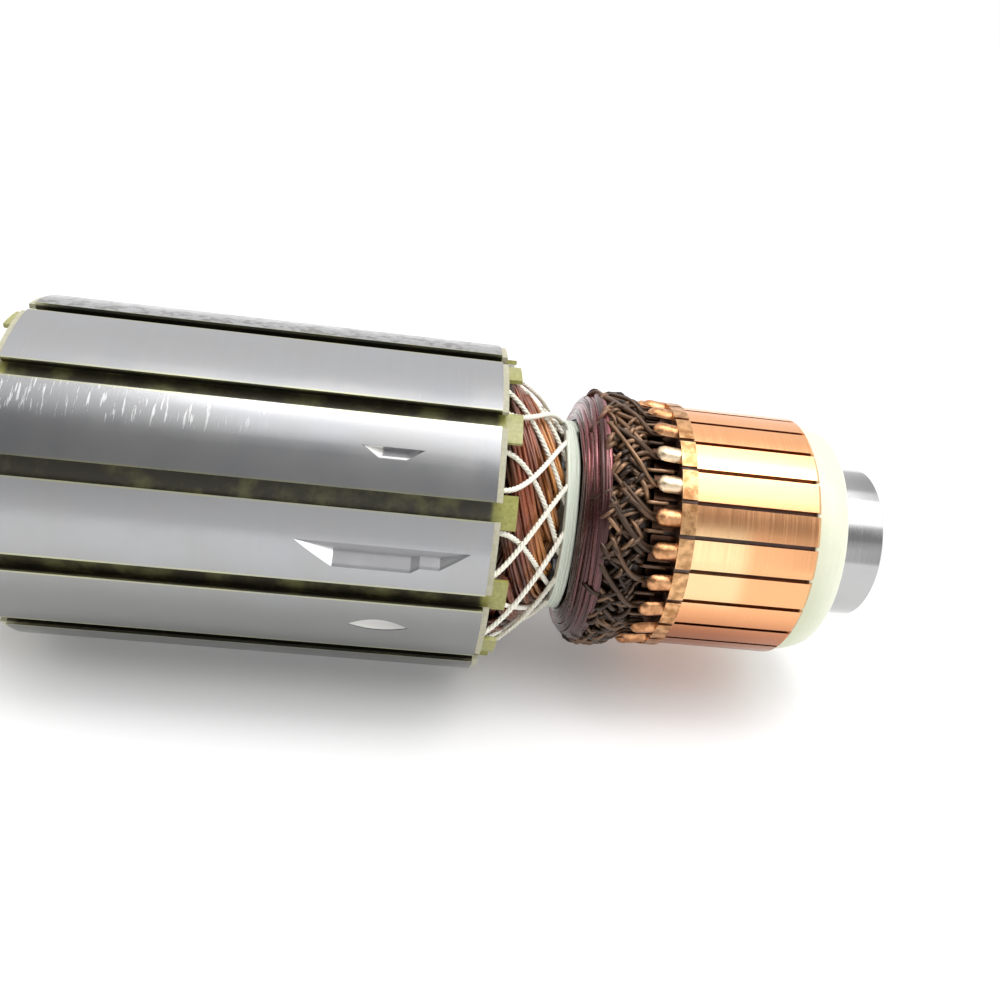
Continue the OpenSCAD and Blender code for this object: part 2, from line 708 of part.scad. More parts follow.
shaft();
shaft_sleeve();
core_stack();
end_disc(front_x);  // end_disc_front
end_disc(rear_x - insulator_t);  // end_disc_rear
slot_liners();
slot_strips();
lacing(front_x, 1);  // lacing_front
lacing(rear_x, -1);  // lacing_rear
band(front_x + band_x, 1, 3);  // neck_band
band(rear_x - band_x, -1, 2);  // tail_band
lead_collar();
lead_wires();
commutator_moulding();
commutator_bush();
bearing_inner_ring();
bearing_outer_ring();
bearing_cage();
bearing_balls();
shield(1);  // bearing_shield_front
shield(-1);  // bearing_shield_rear
for (i = [1:slot_count]) coil(i);
for (i = [1:bar_count]) bar(i);
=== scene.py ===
import json
import math
import random

import bpy
from mathutils import Matrix, Vector, noise


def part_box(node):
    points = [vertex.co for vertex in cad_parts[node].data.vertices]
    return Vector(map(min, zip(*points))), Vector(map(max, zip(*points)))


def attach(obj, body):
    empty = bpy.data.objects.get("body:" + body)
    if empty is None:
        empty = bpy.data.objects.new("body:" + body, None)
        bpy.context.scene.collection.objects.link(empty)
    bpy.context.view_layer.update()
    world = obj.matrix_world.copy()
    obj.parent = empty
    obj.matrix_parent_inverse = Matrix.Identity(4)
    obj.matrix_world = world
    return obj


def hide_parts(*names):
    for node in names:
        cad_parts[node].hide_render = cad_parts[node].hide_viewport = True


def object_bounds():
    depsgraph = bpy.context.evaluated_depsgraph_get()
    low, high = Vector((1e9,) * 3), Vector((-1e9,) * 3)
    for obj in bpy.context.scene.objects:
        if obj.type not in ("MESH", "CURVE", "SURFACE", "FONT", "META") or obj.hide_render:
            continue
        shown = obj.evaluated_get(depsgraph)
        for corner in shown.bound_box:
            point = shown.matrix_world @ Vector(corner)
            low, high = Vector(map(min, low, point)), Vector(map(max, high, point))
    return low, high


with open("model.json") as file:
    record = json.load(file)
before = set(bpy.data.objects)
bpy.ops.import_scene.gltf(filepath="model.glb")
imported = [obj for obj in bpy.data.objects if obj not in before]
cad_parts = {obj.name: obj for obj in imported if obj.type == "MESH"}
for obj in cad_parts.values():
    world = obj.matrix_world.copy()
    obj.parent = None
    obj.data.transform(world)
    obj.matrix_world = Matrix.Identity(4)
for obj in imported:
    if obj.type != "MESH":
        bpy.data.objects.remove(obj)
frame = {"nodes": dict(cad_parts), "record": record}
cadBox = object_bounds()
cadNodes = frame["nodes"]
mm = 0.001
print("frame loaded:", len(cadNodes), "pieces")


# Sizes taken from the frame, all in millimetres

def reach(name):
    return max(math.hypot(v.co.y, v.co.z) for v in cadNodes[name].data.vertices) / mm


def ends(name):
    low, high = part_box(name)
    return low.x / mm, high.x / mm


coreRear, coreFront = ends("core_stack")
coreMiddle = (coreFront + coreRear) / 2
coreHalf = (coreFront - coreRear) / 2
coreRadius = reach("core_stack")
slotCount = sum(1 for name in cadNodes if name.startswith("coil_"))
slotPitch = 360 / slotCount

barLead = 10.6  # the first bar's angle from the top
riserReach = 3.6  # from the back of the moulding to the front of the risers
riserHeight = 0.4  # above the brush track
barCount = sum(1 for name in cadNodes if name.startswith("bar_"))
barPitch = 360 / barCount
hookRear, trackFront = ends("bar_01")
mouldingRear = ends("commutator_moulding")[0]
trackRear = mouldingRear + riserReach
trackRadius = reach("bar_01") - riserHeight
shoulderAt = ends("neck_band")[1]


# Camera, light and floor

cameraSetup = {
    "lens": 34.1,
    "place": (-0.06387, -0.11842, 0.0726),
    "turn": (58.82, -7.69, -1.86),
}

# Each band is a height in degrees and its light: 0 is level in front, 90 overhead and 180 level behind
lightSetup = {
    "overheadSize": (0.52, 0.16),
    "overheadPlace": (0.02, 0.0, 0.5),
    "overheadPower": 0.75,
    "skyStrength": 1.0,
    "bandsFarLeft": [(-180, 1.0), (-90, 0.4), (-25, 0.7), (0, 0.85), (20, 0.7), (30, 0.16),
                     (62, 0.2), (74, 0.9), (92, 1.2), (104, 1.15), (180, 1.0)],
    "bandsLeft": [(-180, 1.0), (-90, 0.4), (-25, 0.7), (0, 0.85), (20, 0.85), (30, 0.27),
                  (59, 0.33), (71, 1.9), (92, 2.0), (104, 1.15), (180, 1.0)],
    "bandsMiddle": [(-180, 1.0), (-90, 0.4), (-25, 0.7), (0, 1.0), (20, 1.0), (28, 0.36),
                    (50, 0.36), (58, 2.2), (66, 3.6), (112, 3.6), (122, 1.1), (180, 1.1)],
    "bandsRight": [(-180, 0.8), (-90, 0.4), (0, 0.6), (30, 0.75), (36, 0.35), (56, 0.35),
                   (62, 2.2), (92, 2.2), (100, 0.6), (140, 0.6), (180, 0.8)],
    "leftFrom": (-0.3, -0.16),
    "middleFrom": (0.1, 0.2),
    "rightFrom": (0.41, 0.45),
    "endFrom": (0.54, 0.6),
    "endLevel": 0.8,
    "boxWindow": (0.5, 0.56, 0.76),
    "boxHeight": (42, 50, 100),
    "boxEdge": (0.04, 8),
    "boxLevel": 3.0,
    "glowWindow": (0.18, 0.3, 0.4),
    "glowHeight": (38, 26),
    "glowLevel": 1.0,
}

# The lift is light added where the camera or a shiny face sees the floor, weakest near the part
floorSetup = {
    "radius": 3.0,
    "sides": 96,
    "whites": ((0.8, 0.8, 0.8), (0.82, 0.82, 0.82)),
    "rough": 0.9,
    "lift": (0.12, 0.35),
    "liftFrom": (0.16, 0.6),
}


def makeCamera(setup):
    data = bpy.data.cameras.new("camera")
    data.lens = setup["lens"]
    data.clip_start = 0.005
    camera = bpy.data.objects.new("camera", data)
    bpy.context.scene.collection.objects.link(camera)
    camera.location = setup["place"]
    camera.rotation_euler = [math.radians(a) for a in setup["turn"]]
    bpy.context.scene.camera = camera


makeCamera(cameraSetup)
bpy.context.scene.view_settings.view_transform = "Standard"
print("camera in place")


# Node helpers

def put(tree, kind, setup=None, feeds=None):
    node = tree.nodes.new("ShaderNode" + kind)
    for key, value in (setup or {}).items():
        setattr(node, key, value)
    feed(tree, node, feeds or {})
    return node


def feed(tree, node, feeds):
    for key, value in feeds.items():
        if isinstance(value, bpy.types.NodeSocket):
            tree.links.new(value, node.inputs[key])
        else:
            node.inputs[key].default_value = value


def calc(tree, operation, *values):
    node = put(tree, "Math", {"operation": operation}, dict(enumerate(values)))
    return node.outputs[0]


def times(tree, first, *others):
    for other in others:
        first = calc(tree, "MULTIPLY", first, other)
    return first


def fade(tree, value, low, high, start=0.0, end=1.0):
    feeds = {"Value": value, "From Min": low, "From Max": high, "To Min": start, "To Max": end}
    return put(tree, "MapRange", {"interpolation_type": "SMOOTHSTEP"}, feeds).outputs["Result"]


# A fade by the distance from a middle value, to either side of it
def fadeAbout(tree, value, middle, low, high, start=0.0, end=1.0):
    away = calc(tree, "ABSOLUTE", calc(tree, "SUBTRACT", value, middle))
    return fade(tree, away, low, high, start, end)


# A fade that starts low on the near side and is gone again under the shaft
def nearSide(tree, angle, start, full, share):
    return times(tree, fade(tree, angle, start, full, 0.0, share), fade(tree, angle, 168.0, 136.0))


def blend(tree, mask, below, above, way="MIX"):
    colours = [c if isinstance(c, bpy.types.NodeSocket) else (*c, 1) for c in (below, above)]
    feeds = {0: mask, 6: colours[0], 7: colours[1]}
    return put(tree, "Mix", {"data_type": "RGBA", "blend_type": way}, feeds).outputs[2]


def cloud(tree, place, scale, detail=3.0, roughness=0.55):
    feeds = {"Vector": place, "Scale": scale, "Detail": detail, "Roughness": roughness}
    return put(tree, "TexNoise", None, feeds).outputs["Fac"]


def newGroup(name, inputs, outputs):
    tree = bpy.data.node_groups.new(name, "ShaderNodeTree")
    for label, value in inputs.items():
        socket = tree.interface.new_socket(label, in_out="INPUT", socket_type="NodeSocketFloat")
        socket.default_value = value
    for label in outputs:
        tree.interface.new_socket(label, in_out="OUTPUT", socket_type="NodeSocketFloat")
    return tree, tree.nodes.new("NodeGroupInput"), tree.nodes.new("NodeGroupOutput")


def useGroup(tree, group, **feeds):
    node = tree.nodes.new("ShaderNodeGroup")
    node.node_tree = group
    feed(tree, node, feeds)
    return node.outputs


# Where a point is about the shaft: along in mm, angle in degrees from the top, radius in mm
def makeAroundShaft():
    tree, _, out = newGroup("aroundShaft", {}, ["Along", "Angle", "Radius"])
    place = put(tree, "TexCoord").outputs["Object"]
    parts = put(tree, "SeparateXYZ", None, {0: place}).outputs
    turn = calc(tree, "ARCTAN2", times(tree, parts[1], -1.0), parts[2])
    squares = [times(tree, part, part) for part in parts[1:]]
    radius = calc(tree, "SQRT", calc(tree, "ADD", *squares))
    tree.links.new(calc(tree, "DIVIDE", parts[0], mm), out.inputs["Along"])
    tree.links.new(calc(tree, "DEGREES", turn), out.inputs["Angle"])
    tree.links.new(calc(tree, "DIVIDE", radius, mm), out.inputs["Radius"])
    return tree


# Fine marks that a lathe or a grinding wheel leaves round the shaft
def makeTurningMarks():
    tree, given, out = newGroup("turningMarks", {"Pitch": 0.1, "Wander": 0.2}, ["Marks"])
    place = put(tree, "TexCoord").outputs["Object"]
    parts = put(tree, "SeparateXYZ", None, {0: place}).outputs
    across = calc(tree, "DIVIDE", calc(tree, "DIVIDE", parts[0], mm), given.outputs["Pitch"])
    aside = times(tree, calc(tree, "DIVIDE", parts[1], mm), given.outputs["Wander"])
    upward = times(tree, calc(tree, "DIVIDE", parts[2], mm), given.outputs["Wander"])
    stretched = put(tree, "CombineXYZ", None, {0: across, 1: aside, 2: upward}).outputs[0]
    tree.links.new(cloud(tree, stretched, 1.0, 4.0), out.inputs["Marks"])
    return tree


# Blotches with a soft edge: size in mm, cover from 0 to 1
def makeBlotches():
    tree, given, out = newGroup("blotches", {"Size": 5.0, "Cover": 0.5, "Edge": 0.1}, ["Mask"])
    place = put(tree, "TexCoord").outputs["Object"]
    scale = calc(tree, "DIVIDE", 1 / mm, given.outputs["Size"])
    spread = cloud(tree, place, scale, 5.0, 0.6)
    level = calc(tree, "SUBTRACT", 1.0, given.outputs["Cover"])
    low = calc(tree, "SUBTRACT", level, given.outputs["Edge"])
    high = calc(tree, "ADD", level, given.outputs["Edge"])
    tree.links.new(fade(tree, spread, low, high), out.inputs["Mask"])
    return tree


aroundShaft = makeAroundShaft()
turningMarks = makeTurningMarks()
blotches = makeBlotches()


def newMaterial(name, **settings):
    material = bpy.data.materials.new(name)
    material.use_nodes = True
    shader = material.node_tree.nodes["Principled BSDF"]
    for key, value in settings.items():
        shader.inputs[key.replace("_", " ")].default_value = value
    return material, material.node_tree, shader


def wire(tree, shader, **feeds):
    for key, value in feeds.items():
        tree.links.new(value, shader.inputs[key.replace("_", " ")])


def bump(tree, height, distance, strength=1.0):
    feeds = {"Height": height, "Distance": distance * mm, "Strength": strength}
    return put(tree, "Bump", None, feeds).outputs["Normal"]


# Light

def bandRamp(tree, share, stops):
    ramp = put(tree, "ValToRGB", None, {0: share})
    bands = ramp.color_ramp
    bands.interpolation = "EASE"
    while len(bands.elements) < len(stops):
        bands.elements.new(0.5)
    for element, (angle, level) in zip(bands.elements, stops):
        element.position = (angle + 180) / 360
        element.color = (level, level, level, 1)
    return ramp.outputs[0]


def makeLamp(setup):
    data = bpy.data.lights.new("overhead", "AREA")
    data.shape = "RECTANGLE"
    data.size, data.size_y = setup["overheadSize"]
    data.energy = setup["overheadPower"]
    lamp = bpy.data.objects.new("overhead", data)
    bpy.context.scene.collection.objects.link(lamp)
    lamp.location = setup["overheadPlace"]


# Soft bands of light at set heights, which change from left to right, and plain white for the camera
def makeSky(setup):
    world = bpy.data.worlds.new("studio")
    world.use_nodes = True
    bpy.context.scene.world = world
    tree = world.node_tree
    way = put(tree, "TexCoord").outputs["Generated"]
    parts = put(tree, "SeparateXYZ", None, {0: way}).outputs
    across = parts[0]
    height = calc(tree, "DEGREES", calc(tree, "ARCTAN2", parts[2], times(tree, parts[1], -1.0)))
    share = calc(tree, "DIVIDE", calc(tree, "ADD", height, 180.0), 360.0)
    level = bandRamp(tree, share, setup["bandsFarLeft"])
    for side in ("Left", "Middle", "Right"):
        start = setup[side.lower() + "From"]
        level = blend(tree, fade(tree, across, *start), level, bandRamp(tree, share, setup["bands" + side]))
    level = blend(tree, fade(tree, across, *setup["endFrom"]), level, (setup["endLevel"],) * 3)
    # A faint glow low down, a little right of the middle
    low, middle, high = setup["glowWindow"]
    glow = times(tree, fade(tree, across, low, middle), fade(tree, across, high, middle),
                 fade(tree, height, *setup["glowHeight"]), setup["glowLevel"])
    level = blend(tree, 1.0, level, glow, "ADD")
    # A small soft box past the commutator's end
    low, middle, high = setup["boxWindow"]
    foot, shoulder, top = setup["boxHeight"]
    sideEdge, topEdge = setup["boxEdge"]
    box = times(tree, fade(tree, across, low, middle), fade(tree, across, high, high - sideEdge),
                fade(tree, height, foot, shoulder), fade(tree, height, top, top - topEdge), setup["boxLevel"])
    level = blend(tree, 1.0, level, box, "ADD")
    toCamera = put(tree, "LightPath").outputs["Is Camera Ray"]
    background = tree.nodes["Background"]
    tree.links.new(blend(tree, toCamera, level, (1, 1, 1)), background.inputs["Color"])
    background.inputs["Strength"].default_value = setup["skyStrength"]


def makeFloor(setup):
    bpy.ops.object.select_all(action="DESELECT")
    bpy.ops.mesh.primitive_circle_add(vertices=setup["sides"], radius=setup["radius"], fill_type="NGON",
                                      location=(0, 0, cadBox[0][2]))
    floor = bpy.context.object
    floor.name = "floor"
    bpy.ops.object.transform_apply(location=True)
    material, tree, shader = newMaterial("floorWhite", Roughness=setup["rough"])
    place = put(tree, "TexCoord").outputs["Object"]
    wire(tree, shader, Base_Color=blend(tree, cloud(tree, place, 4.0, 2.0), *setup["whites"]))
    rays = put(tree, "LightPath").outputs
    seen = rays["Is Camera Ray"]
    for ray in ("Is Glossy Ray", "Is Transmission Ray"):
        seen = calc(tree, "ADD", seen, rays[ray])
    away = put(tree, "VectorMath", {"operation": "LENGTH"}, {0: place}).outputs["Value"]
    lift = times(tree, seen, fade(tree, away, *setup["liftFrom"], *setup["lift"]))
    glow = put(tree, "Emission", None, {"Strength": lift})
    both = put(tree, "AddShader", None, {0: shader.outputs[0], 1: glow.outputs[0]})
    tree.links.new(both.outputs[0], tree.nodes["Material Output"].inputs["Surface"])
    floor.data.materials.append(material)


makeLamp(lightSetup)
makeSky(lightSetup)
makeFloor(floorSetup)
print("light and floor ready")


# Core: ground steel with stains, bright cuts, varnish along the slot mouths, painted shade in the slots and
# on the lower teeth, and a painted highlight on the lens and the short cut's facets

coreFinish = {
    "ground": ((0.37, 0.375, 0.39), (0.42, 0.425, 0.435)),
    "stain": (0.36, 0.35, 0.33),
    "knock": (0.9, 0.9, 0.9),
    "rust": (0.16, 0.155, 0.14),
    # painted shade on the lower near-side teeth
    "paintedShade": (0.13, 0.135, 0.12),
    "cut": (0.55, 0.55, 0.56),
    "varnish": (0.5, 0.5, 0.3),
    # painted shade: the slot walls below the surface are near black
    "inSlot": (0.05, 0.045, 0.03),
    # fresh milled metal, painted near white as a painted highlight
    "milled": (0.86, 0.85, 0.83),
    "knockedAngle": 37.0,
    "knockedLength": (38, 20),
    "rustFrom": (-1.0, -4.0),
    "rustTo": (-60.0, -24.0),
    "paintedShadeBands": ((78.0, 104.0, 0.62), (110.0, 122.0, 0.28)),
    "cutDepth": (0.15, 0.35),
    "slotDepth": (0.15, 0.5),
    "milledDepth": (0.06, 0.12),
    "lensFrom": (94.0, 97.0),
    "shortCutAngle": 45.0,
    "shortCutFacet": (14.2, 14.6),
    "shortCutStrip": (45.9, 46.5),
    "rough": (0.2, 0.27),
}


def makeCoreSteel(setup):
    material, tree, shader = newMaterial("coreSteel")
    along, angle, radius = useGroup(tree, aroundShaft)
    marks = useGroup(tree, turningMarks, Pitch=0.12, Wander=0.03)[0]
    scratches = useGroup(tree, turningMarks, Pitch=0.35, Wander=0.3)[0]
    stains = useGroup(tree, blotches, Size=9.0, Cover=0.5, Edge=0.25)[0]
    specks = useGroup(tree, blotches, Size=1.5, Cover=0.47, Edge=0.08)[0]
    fromSlot = calc(tree, "PINGPONG", angle, slotPitch / 2)
    depth = calc(tree, "SUBTRACT", coreRadius, radius)
    tone = blend(tree, marks, *setup["ground"])
    tone = blend(tree, times(tree, stains, 0.35), tone, setup["stain"])
    # Knocks across one tooth, away from the cuts, and light rust past the top
    knockedFrom, knockedTo = setup["knockedLength"]
    knocks = times(tree, fade(tree, scratches, 0.58, 0.64),
                   fadeAbout(tree, angle, setup["knockedAngle"], 9.0, 3.0),
                   fade(tree, along, coreRear + knockedFrom, coreRear + knockedTo))
    tone = blend(tree, times(tree, knocks, 0.55), tone, setup["knock"])
    rusty = times(tree, specks, fade(tree, angle, *setup["rustFrom"]),
                  fade(tree, angle, *setup["rustTo"], 0.12, 1.0), 0.75)
    tone = blend(tree, rusty, tone, setup["rust"])
    # Painted shade: the lower teeth on the near side are darker
    paintedShade = calc(tree, "ADD", *[nearSide(tree, angle, *band) for band in setup["paintedShadeBands"]])
    tone = blend(tree, paintedShade, tone, setup["paintedShade"])
    tone = blend(tree, times(tree, fade(tree, depth, *setup["cutDepth"]), 0.85), tone, setup["cut"])
    mouth = times(tree, fade(tree, fromSlot, 3.7, 3.2), fade(tree, stains, 0.0, 1.0, 0.35, 0.8))
    tone = blend(tree, mouth, tone, setup["varnish"])
    # Painted shade inside the slots: the walls under the tooth tips go near black
    inSlot = times(tree, fade(tree, depth, *setup["slotDepth"]), fade(tree, fromSlot, 7.6, 7.0))
    tone = blend(tree, inSlot, tone, setup["inSlot"])
    # The lens, and the rear facet and lower strip of the short cut, are the palest: fresh milled metal,
    # painted near white and matt as a painted highlight
    facetFrom, facetTo = setup["shortCutFacet"]
    facet = fade(tree, along, coreFront - facetFrom, coreFront - facetTo)
    strip = fade(tree, angle, *setup["shortCutStrip"])
    shortCut = times(tree, fadeAbout(tree, angle, setup["shortCutAngle"], 13.0, 11.0),
                     calc(tree, "MAXIMUM", facet, strip))
    palest = calc(tree, "MAXIMUM", fade(tree, angle, *setup["lensFrom"]), shortCut)
    milled = times(tree, palest, fade(tree, depth, *setup["milledDepth"]), fade(tree, fromSlot, 3.8, 4.4))
    tone = blend(tree, milled, tone, setup["milled"])
    rough = calc(tree, "ADD", fade(tree, stains, 0.0, 1.0, *setup["rough"]), times(tree, knocks, 0.3))
    wire(tree, shader, Base_Color=tone, Roughness=rough, Metallic=fade(tree, milled, 0.0, 1.0, 0.9, 0.25),
         Normal=bump(tree, marks, 0.01, 0.12))
    return material


# Turned and ground parts of the shaft, the bearing and the bush

def makeTurnedSteel(name, dark, light, rough, pitch=0.15):
    material, tree, shader = newMaterial(name, Metallic=1.0)
    marks = useGroup(tree, turningMarks, Pitch=pitch, Wander=0.02)[0]
    stains = useGroup(tree, blotches, Size=4.0, Cover=0.45, Edge=0.2)[0]
    tone = blend(tree, marks, dark, light)
    tone = blend(tree, times(tree, stains, 0.25), tone, dark)
    wire(tree, shader, Base_Color=tone, Roughness=fade(tree, marks, 0.3, 0.7, rough * 0.8, rough * 1.2),
         Normal=bump(tree, marks, 0.008, 0.4))
    return material


# Fibre board and plain plastics: a fine grain in mm, with wide patches of the darker colour
def makeDull(name, colour, darker, rough, grain):
    material, tree, shader = newMaterial(name)
    fine = useGroup(tree, blotches, Size=grain, Cover=0.5, Edge=0.25)[0]
    wide = useGroup(tree, blotches, Size=grain * 8, Cover=0.5, Edge=0.3)[0]
    tone = blend(tree, fine, darker, colour)
    tone = blend(tree, times(tree, wide, 0.4), tone, darker)
    wire(tree, shader, Base_Color=tone, Roughness=fade(tree, wide, 0.0, 1.0, rough * 0.9, rough * 1.1),
         Normal=bump(tree, fine, 0.015, 0.5))
    return material


# Slot paper: dark inside the core with varnish streaks and painted shade of the slot, clean and yellow-green
# where it stands out

paperFinish = {
    "clean": ((0.26, 0.25, 0.06), (0.38, 0.37, 0.105)),
    "varnishedAndShaded": ((0.05, 0.045, 0.028), (0.19, 0.185, 0.075)),
    "coat": 0.4,
    "rough": (0.35, 0.5),
}


def makeSlotPaper(setup):
    material, tree, shader = newMaterial("slotPaper", Coat_Weight=setup["coat"], Coat_Roughness=0.2)
    along, _, _ = useGroup(tree, aroundShaft)
    fine = useGroup(tree, blotches, Size=0.5, Cover=0.5, Edge=0.25)[0]
    streaks = useGroup(tree, blotches, Size=5.0, Cover=0.42, Edge=0.15)[0]
    standing = fadeAbout(tree, along, coreMiddle, coreHalf - 0.6, coreHalf + 0.1)
    clean = blend(tree, fine, *setup["clean"])
    # Varnish streaks with painted shade: darker where the paper lies inside the slot
    varnishedAndShaded = blend(tree, streaks, *setup["varnishedAndShaded"])
    wire(tree, shader, Base_Color=blend(tree, standing, varnishedAndShaded, clean),
         Roughness=fade(tree, streaks, 0.0, 1.0, *setup["rough"]), Normal=bump(tree, fine, 0.02, 0.5))
    return material


# Resin: pale at the nose, greener and darker low down as painted shade, dark with brush dust between the bars

resinFinish = {
    "pale": ((0.79, 0.8, 0.64), (0.69, 0.73, 0.53)),
    "speckle": (0.7, 0.72, 0.56),
    # low: painted shade, greener and darker low down
    "low": (0.6, 0.66, 0.44),
    "shadeAngles": (60.0, 120.0, 0.15, 0.65),
    "noseLength": 3.5,
    "dust": ((0.05, 0.025, 0.015), (0.13, 0.06, 0.035)),
    "coat": 0.3,
    "rough": (0.32, 0.42),
}


def makeResin(setup):
    material, tree, shader = newMaterial("mouldedResin", Coat_Weight=setup["coat"], Coat_Roughness=0.2)
    along, angle, _ = useGroup(tree, aroundShaft)
    fine = useGroup(tree, blotches, Size=0.3, Cover=0.5, Edge=0.25)[0]
    wide = useGroup(tree, blotches, Size=4.0, Cover=0.5, Edge=0.3)[0]
    tone = blend(tree, times(tree, wide, 0.7), *setup["pale"])
    tone = blend(tree, times(tree, fine, 0.25), tone, setup["speckle"])
    # Painted shade: greener and darker low down near the bars
    low = times(tree, fade(tree, calc(tree, "ABSOLUTE", angle), *setup["shadeAngles"]),
                fade(tree, along, trackFront + setup["noseLength"], trackFront))
    tone = blend(tree, low, tone, setup["low"])
    dust = blend(tree, wide, *setup["dust"])
    tone = blend(tree, fade(tree, along, trackFront - 0.3, trackFront - 0.7), tone, dust)
    wire(tree, shader, Base_Color=tone, Roughness=fade(tree, fine, 0.0, 1.0, *setup["rough"]),
         Normal=bump(tree, fine, 0.015, 0.4))
    return material


# Bars: a turned track with a painted highlight on its rear part, painted shade on the lowest bars and a
# painted highlight on two hooks, with the riser and the hook left as they were drawn

copperFinish = {
    "track": ((0.84, 0.38, 0.17), (0.95, 0.5, 0.25)),
    "stain": (0.84, 0.42, 0.2),
    # painted highlight: a paler, yellower rear part of the track
    "trackHighlight": (0.97, 0.72, 0.4),
    "trackHighlightLength": (9, 6),
    "trackHighlightAngle": 76.0,
    # low: painted shade on the lowest bars
    "low": (0.36, 0.11, 0.05),
    "shadeAngles": (92.0, 116.0, 0.8),
    "riser": ((0.3, 0.14, 0.05), (0.74, 0.42, 0.2)),
    "hook": ((0.4, 0.18, 0.08), (0.75, 0.38, 0.19)),
    "hookFrom": (1.9, 2.5),
    # painted highlight on two hooks
    "hookHighlight": (0.97, 0.84, 0.6),
    "hookHighlightAngle": 33.0,
    "inside": (0.08, 0.04, 0.025),
    "insideDepth": (1.5, 0.7),
    "rough": (0.16, 0.26),
}


def makeCopper(setup):
    material, tree, shader = newMaterial("commutatorCopper", Metallic=1.0)
    along, angle, radius = useGroup(tree, aroundShaft)
    marks = useGroup(tree, turningMarks, Pitch=0.16, Wander=0.02)[0]
    stains = useGroup(tree, blotches, Size=3.0, Cover=0.5, Edge=0.25)[0]
    tarnish = useGroup(tree, blotches, Size=1.2, Cover=0.5, Edge=0.15)[0]
    tone = blend(tree, marks, *setup["track"])
    tone = blend(tree, times(tree, stains, 0.5), tone, setup["stain"])
    # Painted highlight: the rear part of the track paler and yellower on the rows near the set angle
    trackHighlightFrom, trackHighlightTo = setup["trackHighlightLength"]
    trackHighlight = times(tree, fade(tree, along, trackRear + trackHighlightFrom, trackRear + trackHighlightTo),
                 fadeAbout(tree, angle, setup["trackHighlightAngle"], 24.0, 12.0), 0.65)
    tone = blend(tree, trackHighlight, tone, setup["trackHighlight"])
    # Painted shade: the bars darker low on the near side
    tone = blend(tree, nearSide(tree, angle, *setup["shadeAngles"]), tone, setup["low"])
    riser = fade(tree, along, trackRear + 0.1, trackRear - 0.1)
    tone = blend(tree, times(tree, riser, 0.85), tone, blend(tree, tarnish, *setup["riser"]))
    hookFrom, hookFull = setup["hookFrom"]
    hook = fade(tree, along, trackRear - hookFrom, trackRear - hookFull)
    tone = blend(tree, times(tree, hook, 0.75), tone, blend(tree, tarnish, *setup["hook"]))
    # Two hooks on the upper near side get a painted highlight
    hookHighlight = fadeAbout(tree, angle, setup["hookHighlightAngle"], 20.0, 14.0, 0.0, 0.7)
    tone = blend(tree, times(tree, hook, hookHighlight), tone, setup["hookHighlight"])
    deep, shallow = setup["insideDepth"]
    tone = blend(tree, fade(tree, radius, trackRadius - deep, trackRadius - shallow), setup["inside"], tone)
    rough = calc(tree, "ADD", fade(tree, marks, 0.3, 0.7, *setup["rough"]), times(tree, riser, 0.12))
    height = blend(tree, riser, marks, times(tree, tarnish, 4.0))
    wire(tree, shader, Base_Color=tone, Roughness=rough, Normal=bump(tree, height, 0.01, 0.5))
    return material


# Wires: each has its own shade from dark to light, near black at the core as painted shade, and toward the
# neck a painted highlight on the enamel and a darker tone on the leads and turns

# Painted shade: wires near black close to the core
shadeAtCore = (0.02, 0.014, 0.008)

enamelFinish = {
    "dark": (0.09, 0.022, 0.01),
    "light": (0.38, 0.1, 0.04),
    # tint: brighter orange toward the neck, a painted highlight
    "tint": (0.78, 0.34, 0.08),
    "tintFrom": (coreFront + 4.5, coreFront + 8.5),
    "rough": 0.25,
    "coat": 0.5,
    "metal": 0.3,
}

leadFinish = {
    "dark": (0.03, 0.016, 0.009),
    "light": (0.45, 0.25, 0.135),
    "tint": (0.12, 0.04, 0.03),
    "tintFrom": (shoulderAt + 3.2, shoulderAt + 2.0),
    "rough": 0.3,
    "coat": 0.15,
    "metal": 0.5,
    # painted shade low on the near side
    "paintedLowShade": (55.0, 77.0, 0.5),
}

shoulderFinish = {
    "dark": (0.05, 0.016, 0.014),
    "light": (0.4, 0.13, 0.14),
    "tint": (0.1, 0.04, 0.03),
    "tintFrom": (shoulderAt + 0.6, shoulderAt - 1.0),
    "rough": 0.2,
    "coat": 0.5,
    "metal": 0.75,
    # painted shade low on the near side
    "paintedLowShade": (34.0, 56.0, 0.8),
}


def makeWire(name, setup):
    material, tree, shader = newMaterial(name, Metallic=setup["metal"], Coat_Weight=setup["coat"],
                                         Coat_Roughness=0.12)
    along, angle, _ = useGroup(tree, aroundShaft)
    dark, rough = setup["dark"], setup["rough"]
    shade = put(tree, "Attribute", {"attribute_name": "shade"}).outputs["Fac"]
    patches = useGroup(tree, blotches, Size=2.5, Cover=0.5, Edge=0.2)[0]
    tone = blend(tree, shade, dark, setup["light"])
    tone = blend(tree, times(tree, patches, 0.5), tone, dark)
    # Painted shade: wires near black close to the core's faces
    coreShadeMask = fadeAbout(tree, along, coreMiddle, coreHalf + 3.4, coreHalf + 1.0)
    tone = blend(tree, times(tree, coreShadeMask, 0.8), tone, shadeAtCore)
    # Toward the neck: a painted highlight on the enamel, a darker tone on the leads and turns
    tinted = times(tree, fade(tree, along, *setup["tintFrom"]), 0.75)
    tone = blend(tree, tinted, tone, blend(tree, shade, dark, setup["tint"]))
    # Painted shade: darker low on the near side
    if "paintedLowShade" in setup:
        tone = blend(tree, nearSide(tree, angle, *setup["paintedLowShade"]), tone, dark)
    wire(tree, shader, Base_Color=tone, Roughness=fade(tree, patches, 0.0, 1.0, rough, rough * 1.5))
    return material


